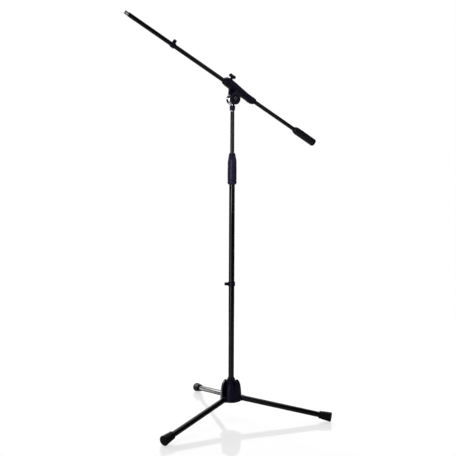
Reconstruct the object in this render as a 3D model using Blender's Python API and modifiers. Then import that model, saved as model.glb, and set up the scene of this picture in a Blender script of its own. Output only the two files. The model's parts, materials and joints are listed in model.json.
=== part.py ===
"""Boom microphone stand: a folding tripod base, a telescoping column and a tilting boom.

Metres, +Z up. The boom's plane is XZ with its microphone end towards -X, and the origin
is on the floor, below the middle of the model's box. The column stands at COLUMN_X, COLUMN_Y.
"""

import math

import bmesh
import bpy

# ---------------------------------------------------------------- driving dimensions
GAP = 0.0003                      # room left between neighbouring pieces
COLUMN_X, COLUMN_Y = 0.02170, -0.07123

LEG_AZIMUTHS = (203.3, 323.3, 83.3)   # degrees, from +X towards +Y
LEG_SLOPE = 10.1                  # degrees below level
LEG_PIVOT_R, LEG_PIVOT_Z = 0.0260, 0.0800
LEG_TUBE_R, LEG_WALL = 0.0104, 0.0012
LEG_TUBE_START, LEG_TUBE_END = 0.0224, 0.3541
LEG_BLOCK_HALF_WIDTH, LEG_BLOCK_HALF_HEIGHT = 0.0105, 0.0090
FOOT_START, FOOT_END, FOOT_R = 0.3171, 0.3651, 0.0181
LEG_BOLT_R = 0.0029
LEG_BOLT_SEAT = 0.0155             # from the slot's middle to the head, and to the nut

HUB_BOTTOM, HUB_TOP, HUB_RIM_R = 0.0675, 0.1560, 0.0420
HUB_BORE_R, HUB_CORE_R, HUB_NECK_R = 0.0113, 0.0155, 0.0134
SLOT_HALF_WIDTH, CHEEK = 0.0110, 0.0042
NOTCH_BOTTOM, NOTCH_RISE, NOTCH_SPREAD = 0.1190, 0.0260, 0.0140
POCKET_TOP, HUB_WALL = 0.1110, 0.0038
BASE_PLATE_R, BASE_PLATE_BOTTOM = 0.0360, 0.0645

LOWER_TUBE_R, LOWER_TUBE_BORE_R = 0.0110, 0.0098
LOWER_TUBE_BOTTOM, LOWER_TUBE_TOP = 0.0675, 0.9380
COLUMN_CLIP_Z = 0.5180

CLUTCH_BOTTOM, CLUTCH_TOP, CLUTCH_R = 0.9000, 1.0205, 0.0171
GRIP_BOTTOM, GRIP_SHOULDER, GRIP_TOP_R = 0.9150, 0.9880, 0.0116
FLUTES = 6

UPPER_TUBE_R, UPPER_TUBE_BORE_R = 0.0080, 0.0070
UPPER_TUBE_BOTTOM, UPPER_TUBE_TOP = 0.4300, 1.1780
SLEEVE_R, SLEEVE_HEIGHT = 0.0096, 0.0350
STUD_R, STUD_TOP = 0.0047, 1.2020
STEM_R, STEM_BOTTOM, STEM_FLAT = 0.0072, 1.1808, 0.0232
NUT_BOTTOM, NUT_TOP, NUT_R = 1.1811, 1.2008, 0.0108

PIVOT_Z = 1.2245                  # the tilt axis, level and along Y
BOOM_TILT = 26.57                 # degrees that the microphone end is raised
BOOM_ABOVE_PIVOT = 0.0435
DISC_R, DISC_NEAR, DISC_FAR = 0.0210, -0.0086, 0.0032
DISC_CHAMFER = 0.0034
WASHER_THICKNESS = 0.0008
NEAR_EAR_R, NEAR_EAR_FACE = 0.0158, -0.0172
FAR_EAR_R, FAR_EAR_FACE = 0.0210, 0.0115
TILT_BOLT_R = 0.0039
KNOB_R, KNOB_FACE = 0.0225, -0.0246

BOOM_R, BOOM_BORE_R = 0.0080, 0.0070
BOOM_MIC_END, BOOM_WEIGHT_END = -0.4910, 0.3880
LINER_IN_R, LINER_OUT_R, CLAMP_BORE_R = 0.00815, 0.00910, 0.00925
CLAMP_MIC_END, CLAMP_WEIGHT_END = -0.0650, 0.0890
SCREW_X, SCREW_R = -0.0395, 0.0029
BOOM_CLIP_X = -0.3010
THREAD_R, THREAD_END = 0.0078, -0.5060
WEIGHT_START, WEIGHT_END, WEIGHT_R = 0.2999, 0.4125, 0.0153
WEIGHT_CAP_START, WEIGHT_SCREW_X = 0.4022, 0.3439

SEGMENTS = 20                     # sides of a small round piece
FINE_SEGMENTS = 32                # sides of a large one

PAINT = ((0.012, 0.012, 0.014), 0.22, 0.0)
PLASTIC = ((0.016, 0.015, 0.022), 0.38, 0.0)
RUBBER = ((0.020, 0.020, 0.021), 0.62, 0.0)
STEEL = ((0.62, 0.62, 0.64), 0.22, 1.0)
NYLON = ((0.035, 0.035, 0.038), 0.55, 0.0)
DARK_STEEL = ((0.055, 0.055, 0.060), 0.35, 1.0)


# ---------------------------------------------------------------- scene helpers
def clear_scene():
    for obj in list(bpy.data.objects):
        bpy.data.objects.remove(obj)


def new_collection(name):
    collection = bpy.data.collections.new(name)
    bpy.context.scene.collection.children.link(collection)
    return collection


def material(name, look):
    colour, roughness, metallic = look
    found = bpy.data.materials.new(name)
    found.use_nodes = True
    shader = found.node_tree.nodes["Principled BSDF"]
    shader.inputs["Base Color"].default_value = (*colour, 1.0)
    shader.inputs["Roughness"].default_value = roughness
    shader.inputs["Metallic"].default_value = metallic
    return found


def link(name, mesh, look=None, parent=None, location=(0, 0, 0), rotation=(0, 0, 0)):
    """An object of this mesh. With no look it is a cutter, which isn't part of the stand."""
    obj = bpy.data.objects.new(name, mesh)
    obj.location = location
    obj.rotation_euler = [math.radians(angle) for angle in rotation]
    obj.parent = parent
    if look is None:
        CUTTERS.objects.link(obj)
        obj.hide_render = True
        obj.display_type = "WIRE"
    else:
        PARTS.objects.link(obj)
        mesh.materials.append(material(name, look))
    return obj


def frame(name, parent=None, location=(0, 0, 0), rotation=(0, 0, 0)):
    """An empty on a joint's axis, which the pieces of one body hang from."""
    empty = bpy.data.objects.new(name, None)
    empty.location = location
    empty.rotation_euler = [math.radians(angle) for angle in rotation]
    empty.parent = parent
    PARTS.objects.link(empty)
    return empty


def mesh_from(name, build):
    """A mesh that build(bm) fills, shaded smooth with its hard edges kept."""
    bm = bmesh.new()
    build(bm)
    mesh = bpy.data.meshes.new(name)
    bm.to_mesh(mesh)
    bm.free()
    mesh.shade_smooth()
    mesh.set_sharp_from_angle(angle=math.radians(30))
    return mesh


# ---------------------------------------------------------------- shapes
def turned(name, profile, steps=SEGMENTS, **place):
    """A profile of (radius, height) points, top to bottom down its outer side, turned about Z.

    It closes on itself where neither end is on the axis, which makes a ring or a tube.
    """
    mesh = bpy.data.meshes.new(name)
    points = [(radius, 0, height) for radius, height in profile]
    edges = [(i, i + 1) for i in range(len(points) - 1)]
    if profile[0][0] > 0:
        edges.append((len(points) - 1, 0))
    mesh.from_pydata(points, edges, [])
    obj = link(name, mesh, **place)
    screw = obj.modifiers.new("turn", "SCREW")
    screw.axis = "Z"
    screw.steps = steps
    screw.render_steps = steps
    screw.use_merge_vertices = True
    screw.merge_threshold = 0.00001
    screw.use_smooth_shade = True
    return obj


def tube(name, outer, bore, bottom, top, steps=SEGMENTS, **place):
    profile = [(outer, top), (outer, bottom), (bore, bottom), (bore, top)]
    return turned(name, profile, steps, **place)


def rod(name, radius, bottom, top, steps=SEGMENTS, chamfer=0.0, **place):
    profile = [(0, top), (radius - chamfer, top)]
    if chamfer:
        profile += [(radius, top - chamfer), (radius, bottom + chamfer)]
    else:
        profile += [(radius, bottom)]
    profile += [(radius - chamfer, bottom), (0, bottom)] if chamfer else [(0, bottom)]
    return turned(name, profile, steps, **place)


def box(name, low, high, **place):
    """A box between two corners of its own frame."""
    middle = [(a + b) / 2 for a, b in zip(low, high)]
    size = [b - a for a, b in zip(low, high)]

    def build(bm):
        made = bmesh.ops.create_cube(bm, size=1.0)
        bmesh.ops.scale(bm, vec=size, verts=made["verts"])
        bmesh.ops.translate(bm, vec=middle, verts=made["verts"])

    return link(name, mesh_from(name, build), **place)


def plate(name, outline, near, far, **place):
    """A flat outline of (x, z) points, filled and thick from y = near to y = far."""
    curve = bpy.data.curves.new(name, "CURVE")
    curve.dimensions = "2D"
    curve.fill_mode = "BOTH"
    curve.extrude = abs(far - near) / 2
    spline = curve.splines.new("POLY")
    spline.points.add(len(outline) - 1)
    for point, (x, z) in zip(spline.points, outline):
        point.co = (x, z, 0, 1)
    spline.use_cyclic_u = True
    shape = bpy.data.objects.new(name + "_outline", curve)
    CUTTERS.objects.link(shape)
    graph = bpy.context.evaluated_depsgraph_get()
    mesh = bpy.data.meshes.new_from_object(shape.evaluated_get(graph))
    bpy.data.objects.remove(shape)
    bm = bmesh.new()
    bm.from_mesh(mesh)
    bmesh.ops.remove_doubles(bm, verts=bm.verts, dist=0.000001)
    for vert in bm.verts:
        x, z, depth = vert.co
        vert.co = (x, (near + far) / 2 - depth, z)
    bmesh.ops.recalc_face_normals(bm, faces=bm.faces)
    bm.to_mesh(mesh)
    bm.free()
    mesh.name = name
    mesh.materials.clear()
    return link(name, mesh, **place)


def arc(centre, radius, start, end, steps):
    """Points of an arc about centre, with its angles in degrees."""
    angles = [math.radians(start + (end - start) * i / steps) for i in range(steps + 1)]
    return [(centre[0] + radius * math.cos(a), centre[1] + radius * math.sin(a)) for a in angles]


def boolean(obj, other, operation="DIFFERENCE", solver="EXACT"):
    step = obj.modifiers.new(operation.lower(), "BOOLEAN")
    step.operation = operation
    step.object = other
    step.solver = solver


def cut(obj, *cutters, solver="EXACT"):
    for cutter in cutters:
        boolean(obj, cutter, solver=solver)


# ---------------------------------------------------------------- tripod base
def hub_profile(inset=0.0):
    """The bell's outer side, (radius, height), from its shoulder down to its rim."""
    side = [
        (0.0160, 0.1495), (0.0222, 0.1475), (0.0284, 0.1430), (0.0330, 0.1368),
        (0.0364, 0.1280), (0.0386, 0.1160), (0.0400, 0.1025), (0.0413, 0.0800),
    ]
    return [(radius - inset, height - inset) for radius, height in side]


def hub_pockets(stand):
    """The hollows under the bell, one between each two legs, with a cheek beside each slot."""
    side = [(r, z) for r, z in hub_profile(HUB_WALL) if z < POCKET_TOP]
    floor = HUB_BOTTOM - 0.002
    profile = [(HUB_CORE_R + 0.002, POCKET_TOP), (side[0][0] + 0.0005, POCKET_TOP)]
    profile += side + [(HUB_RIM_R - HUB_WALL, floor), (HUB_CORE_R + 0.002, floor)]
    pockets = turned("hub_pocket_cutter", profile, FINE_SEGMENTS, parent=stand)
    half = SLOT_HALF_WIDTH + CHEEK
    for azimuth in LEG_AZIMUTHS:
        cheek = box("hub_cheek_guide_%d" % azimuth, (0, -half, floor - 0.01),
                    (0.06, half, POCKET_TOP + 0.01), parent=stand, rotation=(0, 0, azimuth))
        boolean(pockets, cheek)
    return pockets


def notch_outline():
    """Between two legs the bell opens upwards, which leaves a rounded arch beside each slot."""
    turns = [math.radians(90 * i / 7) for i in range(8)]
    right = [(0.0012 + NOTCH_SPREAD * (1 - math.cos(t)), NOTCH_BOTTOM + NOTCH_RISE * math.sin(t))
             for t in turns]
    right.append((right[-1][0], NOTCH_BOTTOM + NOTCH_RISE + 0.0200))
    return right + [(-x, z) for x, z in reversed(right)]


def hub(stand):
    profile = [(HUB_BORE_R, HUB_TOP), (HUB_NECK_R - 0.0007, HUB_TOP), (HUB_NECK_R, HUB_TOP - 0.0010)]
    profile += [(HUB_NECK_R, HUB_TOP - 0.0065)] + hub_profile()
    profile += [(HUB_RIM_R, HUB_BOTTOM + 0.0035), (HUB_RIM_R, HUB_BOTTOM), (HUB_BORE_R, HUB_BOTTOM)]
    body = turned("hub", profile, FINE_SEGMENTS, look=PLASTIC, parent=stand)
    cut(body, hub_pockets(stand))
    for azimuth in LEG_AZIMUTHS:
        turn = (0, 0, azimuth)
        slot = box("hub_slot_cutter_%d" % azimuth, (HUB_CORE_R, -SLOT_HALF_WIDTH, 0.05),
                   (0.07, SLOT_HALF_WIDTH, 0.17), parent=stand, rotation=turn)
        notch = plate("hub_notch_cutter_%d" % azimuth, notch_outline(), -0.07, -HUB_CORE_R,
                      parent=stand, rotation=(0, 0, azimuth + 150))
        pivot = frame("hub_bolt_line_%d" % azimuth, stand, rotation=turn)
        place = {"parent": pivot, "location": (LEG_PIVOT_R, 0, LEG_PIVOT_Z), "rotation": (90, 0, 0)}
        hole = rod("hub_bolt_cutter_%d" % azimuth, LEG_BOLT_R + GAP, -0.0170, 0.0400, 16, **place)
        cut(body, slot, notch, hole, solver="MANIFOLD")


def base_plate(stand):
    bottom, top, radius = BASE_PLATE_BOTTOM, HUB_BOTTOM - GAP, BASE_PLATE_R
    profile = [(0.0043, top), (radius, top), (radius, bottom + 0.0012), (radius - 0.0012, bottom)]
    turned("hub_base_plate", profile + [(0.0043, bottom)], FINE_SEGMENTS, look=PLASTIC, parent=stand)
    head, end = BASE_PLATE_BOTTOM - GAP, 0.0960
    hexagon = turned("base_screw_head_guide", [(0, head), (0.0069, head), (0.0069, head - 0.0052),
                     (0, head - 0.0052)], 6, parent=stand)
    screw = rod("hub_base_screw", 0.0039, head - 0.001, end, look=DARK_STEEL, parent=stand)
    boolean(screw, hexagon, "UNION")
    profile = [(0.0042, 0.1080), (LOWER_TUBE_BORE_R - GAP, 0.1080)]
    profile += [(LOWER_TUBE_BORE_R - GAP, 0.0780), (0.0042, 0.0780)]
    turned("column_foot_plug", profile, look=NYLON, parent=stand)


def leg_bolt(number, azimuth, stand):
    """The bolt that a leg folds on, across the leg's slot, and its nut."""
    line = frame("leg_%d_bolt_line" % number, stand, rotation=(0, 0, azimuth))
    place = {"parent": line, "location": (LEG_PIVOT_R, 0, LEG_PIVOT_Z), "rotation": (90, 0, 0)}
    seat = LEG_BOLT_SEAT
    profile = [(0, seat + 0.0032), (0.0040, seat + 0.0032), (0.0052, seat + 0.0018), (0.0052, seat)]
    profile += [(LEG_BOLT_R, seat), (LEG_BOLT_R, -seat - 0.0044), (0, -seat - 0.0044)]
    turned("leg_%d_bolt" % number, profile, 16, look=DARK_STEEL, **place)
    profile = [(0, -seat), (0.0052, -seat), (0.0052, -seat - 0.0038), (0, -seat - 0.0038)]
    nut = turned("leg_%d_nut" % number, profile, 6, look=DARK_STEEL, **place)
    cut(nut, rod("leg_%d_nut_cutter" % number, LEG_BOLT_R + GAP, -0.0250, -0.0100, **place))


def leg(number, azimuth, stand):
    """A leg along its own +X, which folds up about its own Y axis."""
    line = frame("leg_%d_azimuth" % number, stand, rotation=(0, 0, azimuth))
    pivot = frame("leg_%d_pivot" % number, line, (LEG_PIVOT_R, 0, LEG_PIVOT_Z), (0, LEG_SLOPE, 0))
    along = {"parent": pivot, "rotation": (0, 90, 0)}
    half, start = LEG_BLOCK_HALF_HEIGHT, LEG_TUBE_START - GAP
    outline = arc((0, 0), half, 90, 270, 12) + [(start, -half), (start, half)]
    block = plate("leg_%d_hinge_block" % number, outline, -LEG_BLOCK_HALF_WIDTH,
                  LEG_BLOCK_HALF_WIDTH, look=PLASTIC, parent=pivot)
    plug = rod("leg_%d_plug_guide" % number, LEG_TUBE_R - LEG_WALL - GAP, start - 0.004, 0.0430, **along)
    boolean(block, plug, "UNION")
    cut(block, rod("leg_%d_bolt_cutter" % number, LEG_BOLT_R + GAP, -0.02, 0.02,
                   parent=pivot, rotation=(90, 0, 0)))
    tube("leg_%d_tube" % number, LEG_TUBE_R, LEG_TUBE_R - LEG_WALL, LEG_TUBE_START, LEG_TUBE_END,
         look=PAINT, **along)
    foot = turned("leg_%d_foot" % number, foot_profile(), look=RUBBER, **along)
    floor = box("leg_%d_floor_cutter" % number, (0.3, -0.05, -0.05), (0.45, 0.05, 0), parent=line)
    cut(foot, floor)


def foot_profile():
    """A flared boot over the leg's end: a bead at its mouth and a rounded outer corner."""
    corner = arc((FOOT_R - 0.0035, FOOT_END - 0.0035), 0.0035, 90, 0, 4)
    mouth, bore = FOOT_START, LEG_TUBE_R + GAP
    side = [(0.0144, mouth + 0.0090), (0.0134, mouth + 0.0065), (0.0143, mouth + 0.0045)]
    side += [(0.0143, mouth + 0.0015), (0.0130, mouth), (bore, mouth), (bore, LEG_TUBE_END + GAP)]
    return [(0, FOOT_END)] + corner + side + [(0, LEG_TUBE_END + GAP)]


# ---------------------------------------------------------------- column
def lower_tube(stand):
    tube("lower_tube", LOWER_TUBE_R, LOWER_TUBE_BORE_R, LOWER_TUBE_BOTTOM, LOWER_TUBE_TOP,
         look=PAINT, parent=stand)


def clutch(stand):
    """The base ring is fixed on the lower tube; the grip turns on it and squeezes the collet."""
    bore, neck = LOWER_TUBE_R + GAP, 0.0126
    profile = [(bore, 0.9640), (neck, 0.9640), (neck, GRIP_BOTTOM - GAP), (0.0170, GRIP_BOTTOM - GAP)]
    profile += [(0.0178, 0.9132), (0.0178, 0.9065), (0.0165, 0.9020), (0.0145, CLUTCH_BOTTOM)]
    profile += [(bore, CLUTCH_BOTTOM)]
    turned("clutch_base", profile, FINE_SEGMENTS, look=PLASTIC, parent=stand)
    bore = UPPER_TUBE_R + 0.0002
    profile = [(bore, 1.0165), (0.0090, 1.0165), (0.0112, 0.9900), (0.0112, 0.9650), (0.0098, 0.9643)]
    profile += [(0.0098, LOWER_TUBE_TOP + GAP), (bore, LOWER_TUBE_TOP + GAP)]
    collet = turned("clutch_collet", profile, SEGMENTS, look=NYLON, parent=stand)
    cut(collet, box("collet_slot_cutter", (-0.02, -0.0006, 0.9720), (0.02, 0.0006, 1.0300), parent=stand))
    clutch_grip(stand)


def clutch_grip(stand):
    shoulder, inner = GRIP_SHOULDER, 0.0130
    profile = [(0.0098, CLUTCH_TOP - 0.0008), (GRIP_TOP_R - 0.0008, CLUTCH_TOP)]
    profile += [(GRIP_TOP_R, CLUTCH_TOP - 0.0010), (0.0162, shoulder + 0.0060), (CLUTCH_R, shoulder)]
    profile += [(0.0175, 0.9500), (0.0175, 0.9215), (0.0177, 0.9180), (0.0170, GRIP_BOTTOM)]
    profile += [(inner, GRIP_BOTTOM), (inner, 0.9700), (0.0120, 0.9720), (0.0120, 0.9910)]
    grip = turned("clutch_grip", profile, FINE_SEGMENTS, look=PLASTIC, parent=stand)
    for i in range(FLUTES):
        line = frame("flute_line_%d" % i, stand, (0, 0, shoulder), (0, 0, 258 + 360 / FLUTES * i))
        flute = rod("flute_cutter_%d" % i, 0.0042, -0.004, 0.0500, 16, parent=line,
                    location=(0.0205, 0, 0.0020), rotation=(0, -19, 0))
        cut(grip, flute)


def column(stand):
    """The upper tube telescopes and turns in the lower one, with a guide sleeve at its foot."""
    tube("upper_tube", UPPER_TUBE_R, UPPER_TUBE_BORE_R, UPPER_TUBE_BOTTOM, UPPER_TUBE_TOP,
         look=PAINT, parent=stand)
    tube("guide_sleeve", SLEEVE_R, UPPER_TUBE_R + 0.0002, UPPER_TUBE_BOTTOM,
         UPPER_TUBE_BOTTOM + SLEEVE_HEIGHT, look=NYLON, parent=stand)
    plug, bottom = UPPER_TUBE_BORE_R - GAP, UPPER_TUBE_BOTTOM - GAP
    profile = [(0, bottom + 0.0200), (plug, bottom + 0.0200), (plug, bottom), (0.0090, bottom)]
    turned("upper_tube_end_plug", profile + [(0.0090, bottom - 0.0040), (0, bottom - 0.0040)],
           look=NYLON, parent=stand)
    top = UPPER_TUBE_TOP + GAP
    profile = [(0, STUD_TOP), (STUD_R - 0.0008, STUD_TOP), (STUD_R, STUD_TOP - 0.0008)]
    profile += [(STUD_R, top + 0.0018), (UPPER_TUBE_R, top + 0.0018), (UPPER_TUBE_R, top)]
    profile += [(plug, top), (plug, top - 0.0280), (0, top - 0.0280)]
    turned("column_stud", profile, look=STEEL, parent=stand)


def swivel_nut(stand):
    bore = STEM_R + GAP
    profile = [(bore, NUT_TOP), (0.0096, NUT_TOP), (NUT_R, NUT_TOP - 0.0016), (NUT_R, NUT_TOP - 0.0095)]
    profile += [(0.0098, NUT_BOTTOM + 0.0030), (0.0086, NUT_BOTTOM), (bore, NUT_BOTTOM)]
    nut = turned("swivel_nut", profile, SEGMENTS, look=PLASTIC, parent=stand)
    for i in range(8):
        line = frame("nut_line_%d" % i, stand, rotation=(0, 0, 45 * i))
        groove = rod("nut_groove_cutter_%d" % i, 0.0016, NUT_BOTTOM - 0.001, NUT_TOP - 0.0030, 10,
                     parent=line, location=(NUT_R + 0.0006, 0, 0))
        cut(nut, groove)


def swivel_base(stand):
    """A stem on the column's stud that carries the disc between the clamp's two ears."""
    pivot = (0, 0, PIVOT_Z)
    top, bottom = -DISC_NEAR, -DISC_FAR
    profile = [(0, top), (DISC_R - DISC_CHAMFER, top), (DISC_R, top - DISC_CHAMFER)]
    profile += [(DISC_R, bottom + 0.0006), (DISC_R - 0.0006, bottom), (0, bottom)]
    disc = turned("swivel_base", profile, FINE_SEGMENTS, look=STEEL, parent=stand, location=pivot,
                  rotation=(90, 0, 0))
    stem = rod("swivel_stem_guide", STEM_R, STEM_BOTTOM, PIVOT_Z, parent=stand)
    near = box("swivel_near_cutter", (-0.03, -0.03, PIVOT_Z - STEM_FLAT), (0.03, DISC_NEAR, PIVOT_Z + 0.03),
               parent=stand)
    far = box("swivel_far_cutter", (-0.03, DISC_FAR, PIVOT_Z - STEM_FLAT), (0.03, 0.03, PIVOT_Z + 0.03),
              parent=stand)
    cut(stem, near, far)
    boolean(disc, stem, "UNION")
    cut(disc, rod("swivel_stud_cutter", STUD_R + GAP, STEM_BOTTOM - 0.01, STUD_TOP + GAP, parent=stand),
        rod("swivel_bolt_cutter", TILT_BOLT_R + GAP, -0.03, 0.03, parent=stand, location=pivot,
            rotation=(90, 0, 0)))
    bottoms = {"near": -DISC_NEAR + GAP, "far": -DISC_FAR - GAP - WASHER_THICKNESS}
    for side, bottom in bottoms.items():
        tube("%s_friction_washer" % side, 0.0150, TILT_BOLT_R + GAP, bottom, bottom + WASHER_THICKNESS,
             look=RUBBER, parent=stand, location=pivot, rotation=(90, 0, 0))


# ---------------------------------------------------------------- boom head
def clamp_sections():
    """The clamp's body along X: (x, top, bottom) from the boom's axis, and its half width."""
    return [
        (-0.0650, 0.0108, -0.0106, 0.0108), (-0.0635, 0.0146, -0.0118, 0.0126),
        (-0.0590, 0.0180, -0.0126, 0.0145), (-0.0520, 0.0200, -0.0135, 0.0160),
        (-0.0400, 0.0208, -0.0142, 0.0172), (-0.0200, 0.0190, -0.0148, 0.0176),
        (0.0100, 0.0150, -0.0150, 0.0170), (0.0350, 0.0124, -0.0152, 0.0152),
        (0.0560, 0.0112, -0.0160, 0.0134), (0.0640, 0.0114, -0.0172, 0.0128),
        (0.0780, 0.0114, -0.0165, 0.0124), (0.0860, 0.0112, -0.0126, 0.0118),
        (0.0890, 0.0105, -0.0105, 0.0106),
    ]


def clamp_body_mesh():
    """A loft between rounded sections, from the thick screw end to the thin end."""
    sides, power = 32, 0.80

    def build(bm):
        rings = []
        for x, top, bottom, half_width in clamp_sections():
            middle, half = (top + bottom) / 2, (top - bottom) / 2
            ring = []
            for i in range(sides):
                angle = 2 * math.pi * i / sides
                c, s = math.cos(angle), math.sin(angle)
                y = half_width * math.copysign(abs(c) ** power, c)
                z = BOOM_ABOVE_PIVOT + middle + half * math.copysign(abs(s) ** power, s)
                ring.append(bm.verts.new((x, y, z)))
            rings.append(ring)
        for ring, other in zip(rings, rings[1:]):
            for i in range(sides):
                j = (i + 1) % sides
                bm.faces.new((ring[i], ring[j], other[j], other[i]))
        bm.faces.new(list(reversed(rings[0])))
        bm.faces.new(rings[-1])
        bmesh.ops.recalc_face_normals(bm, faces=bm.faces)

    return mesh_from("boom_clamp", build)


def ear_outline(radius, start, left):
    """A round ear about the tilt axis, with its sides running up into the clamp's body."""
    lift = BOOM_ABOVE_PIVOT - 0.0100
    lower = arc((0, 0), radius, start, 340, 24)
    return [(left, lift)] + lower + [(0.0260, lift)]


def boom_clamp(head):
    clamp = link("boom_clamp", clamp_body_mesh(), look=PLASTIC, parent=head)
    near_inner = DISC_NEAR - WASHER_THICKNESS - 2 * GAP
    far_inner = DISC_FAR + WASHER_THICKNESS + 2 * GAP
    ears = (("near", ear_outline(NEAR_EAR_R, 175, -0.0080), NEAR_EAR_FACE, near_inner),
            ("far", ear_outline(FAR_EAR_R, 157, -0.0300), far_inner, FAR_EAR_FACE))
    for side, outline, near, far in ears:
        boolean(clamp, plate("clamp_%s_ear_guide" % side, outline, near, far, parent=head), "UNION")
    boom = {"parent": head, "location": (0, 0, BOOM_ABOVE_PIVOT), "rotation": (0, 90, 0)}
    screw = {"parent": head, "location": (SCREW_X, 0, 0)}
    top = BOOM_ABOVE_PIVOT + 0.0228
    boss = rod("clamp_boss_guide", 0.0068, BOOM_ABOVE_PIVOT + 0.0100, top, chamfer=0.0008, **screw)
    boolean(clamp, boss, "UNION")
    cut(clamp, rod("clamp_boom_cutter", CLAMP_BORE_R, -0.1, 0.12, FINE_SEGMENTS, **boom),
        rod("clamp_screw_cutter", SCREW_R + GAP, BOOM_ABOVE_PIVOT, top + 0.01, **screw),
        rod("clamp_bolt_cutter", TILT_BOLT_R + GAP, -0.05, 0.05, parent=head, rotation=(90, 0, 0)),
        solver="MANIFOLD")
    liner = tube("boom_liner", LINER_OUT_R, LINER_IN_R, CLAMP_MIC_END + 0.0008,
                 CLAMP_WEIGHT_END - 0.0008, look=NYLON, **boom)
    cut(liner, box("liner_slit_cutter", (-0.0005, -0.02, -0.2), (0.0005, 0, 0.2), **boom))
    pad_bottom = BOOM_ABOVE_PIVOT + CLAMP_BORE_R + 0.0001
    rod("thumb_screw_pad", SCREW_R, pad_bottom, pad_bottom + 0.0015, look=NYLON, **screw)


def tilt_bolt(head):
    """Its hexagonal head is outside the far ear, and its end comes through the knob."""
    inner = FAR_EAR_FACE + GAP
    bolt = rod("tilt_bolt", TILT_BOLT_R, -inner - 0.001, -KNOB_FACE - 0.0012, look=DARK_STEEL,
               parent=head, rotation=(90, 0, 0))
    profile = [(0, -inner), (0.0065, -inner), (0.0065, -inner - 0.0050), (0, -inner - 0.0050)]
    hexagon = turned("tilt_bolt_head_guide", profile, 6, parent=head, rotation=(90, 0, 0))
    boolean(bolt, hexagon, "UNION")


def tilt_knob(head):
    """A round clamping knob with a ringed face, turned about the tilt axis."""
    face, back = -KNOB_FACE, -NEAR_EAR_FACE + GAP
    bore = TILT_BOLT_R + GAP
    profile = [(bore, face), (0.0066, face), (0.0074, face - 0.0008), (0.0080, face - 0.0055)]
    profile += [(0.0124, face - 0.0055), (0.0129, face - 0.0006), (0.0210, face - 0.0006)]
    profile += [(KNOB_R, face - 0.0022), (KNOB_R, back + 0.0008), (KNOB_R - 0.0010, back)]
    profile += [(bore, back)]
    turned("tilt_knob", profile, FINE_SEGMENTS, look=PLASTIC, parent=head, rotation=(90, 0, 0))


def thumb_screw(head):
    """A two-lobed wing on a screw that presses the liner onto the boom."""
    place = {"parent": head, "location": (SCREW_X, 0, 0)}
    axis = BOOM_ABOVE_PIVOT
    shank = rod("thumb_screw", SCREW_R, axis + CLAMP_BORE_R + 0.0020, axis + 0.0320, 24,
                look=PLASTIC, **place)
    lobes = [arc((side * 0.0078, axis + 0.0346), 0.0066, start, start + 250, 14)
             for side, start in ((1, -125), (-1, 55))]
    wing = plate("thumb_wing_guide", lobes[0] + lobes[1], -0.0042, 0.0042, **place)
    neck = rod("thumb_neck_guide", 0.0044, axis + 0.0232, axis + 0.0360, 24, **place)
    boolean(shank, neck, "UNION")
    boolean(shank, wing, "UNION")


# ---------------------------------------------------------------- boom
def boom(head):
    along = {"parent": head, "location": (0, 0, BOOM_ABOVE_PIVOT), "rotation": (0, 90, 0)}
    tube("boom_tube", BOOM_R, BOOM_BORE_R, BOOM_MIC_END, BOOM_WEIGHT_END, look=PAINT, **along)
    plug, end = BOOM_BORE_R - GAP, BOOM_MIC_END - GAP
    profile = [(0, end + 0.0280), (plug, end + 0.0280), (plug, end), (BOOM_R, end)]
    profile += [(BOOM_R, end - 0.0012), (THREAD_R - 0.0009, end - 0.0016), (THREAD_R - 0.0009, end - 0.0030)]
    profile += [(THREAD_R, end - 0.0036), (THREAD_R, THREAD_END + 0.0008), (THREAD_R - 0.0008, THREAD_END)]
    profile += [(0, THREAD_END)]
    turned("mic_thread", profile, look=STEEL, **along)
    counterweight(along)


def counterweight(along):
    bore, start = BOOM_R + GAP, WEIGHT_START
    cap = WEIGHT_CAP_START - GAP
    profile = [(0, cap), (WEIGHT_R, cap), (WEIGHT_R, start + 0.0180), (0.0144, start + 0.0100)]
    profile += [(0.0127, start + 0.0040), (0.0105, start), (bore, start)]
    profile += [(bore, BOOM_WEIGHT_END + GAP), (0, BOOM_WEIGHT_END + GAP)]
    weight = turned("counterweight", profile, FINE_SEGMENTS, look=PLASTIC, **along)
    cross = dict(along, location=(WEIGHT_SCREW_X, 0, BOOM_ABOVE_PIVOT), rotation=(90, 0, 0))
    cut(weight, rod("weight_screw_cutter", 0.0028, 0.0040, 0.0200, 20, **cross))
    rod("counterweight_screw", 0.0025, BOOM_R + GAP, WEIGHT_R - 0.0012, 20, look=DARK_STEEL, **cross)
    dome = arc((WEIGHT_R - 0.0070, WEIGHT_END - 0.0070), 0.0070, 90, 0, 6)
    profile = [(0, WEIGHT_END)] + dome + [(WEIGHT_R, WEIGHT_CAP_START), (0, WEIGHT_CAP_START)]
    turned("counterweight_cap", profile, FINE_SEGMENTS, look=RUBBER, **along)


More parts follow.
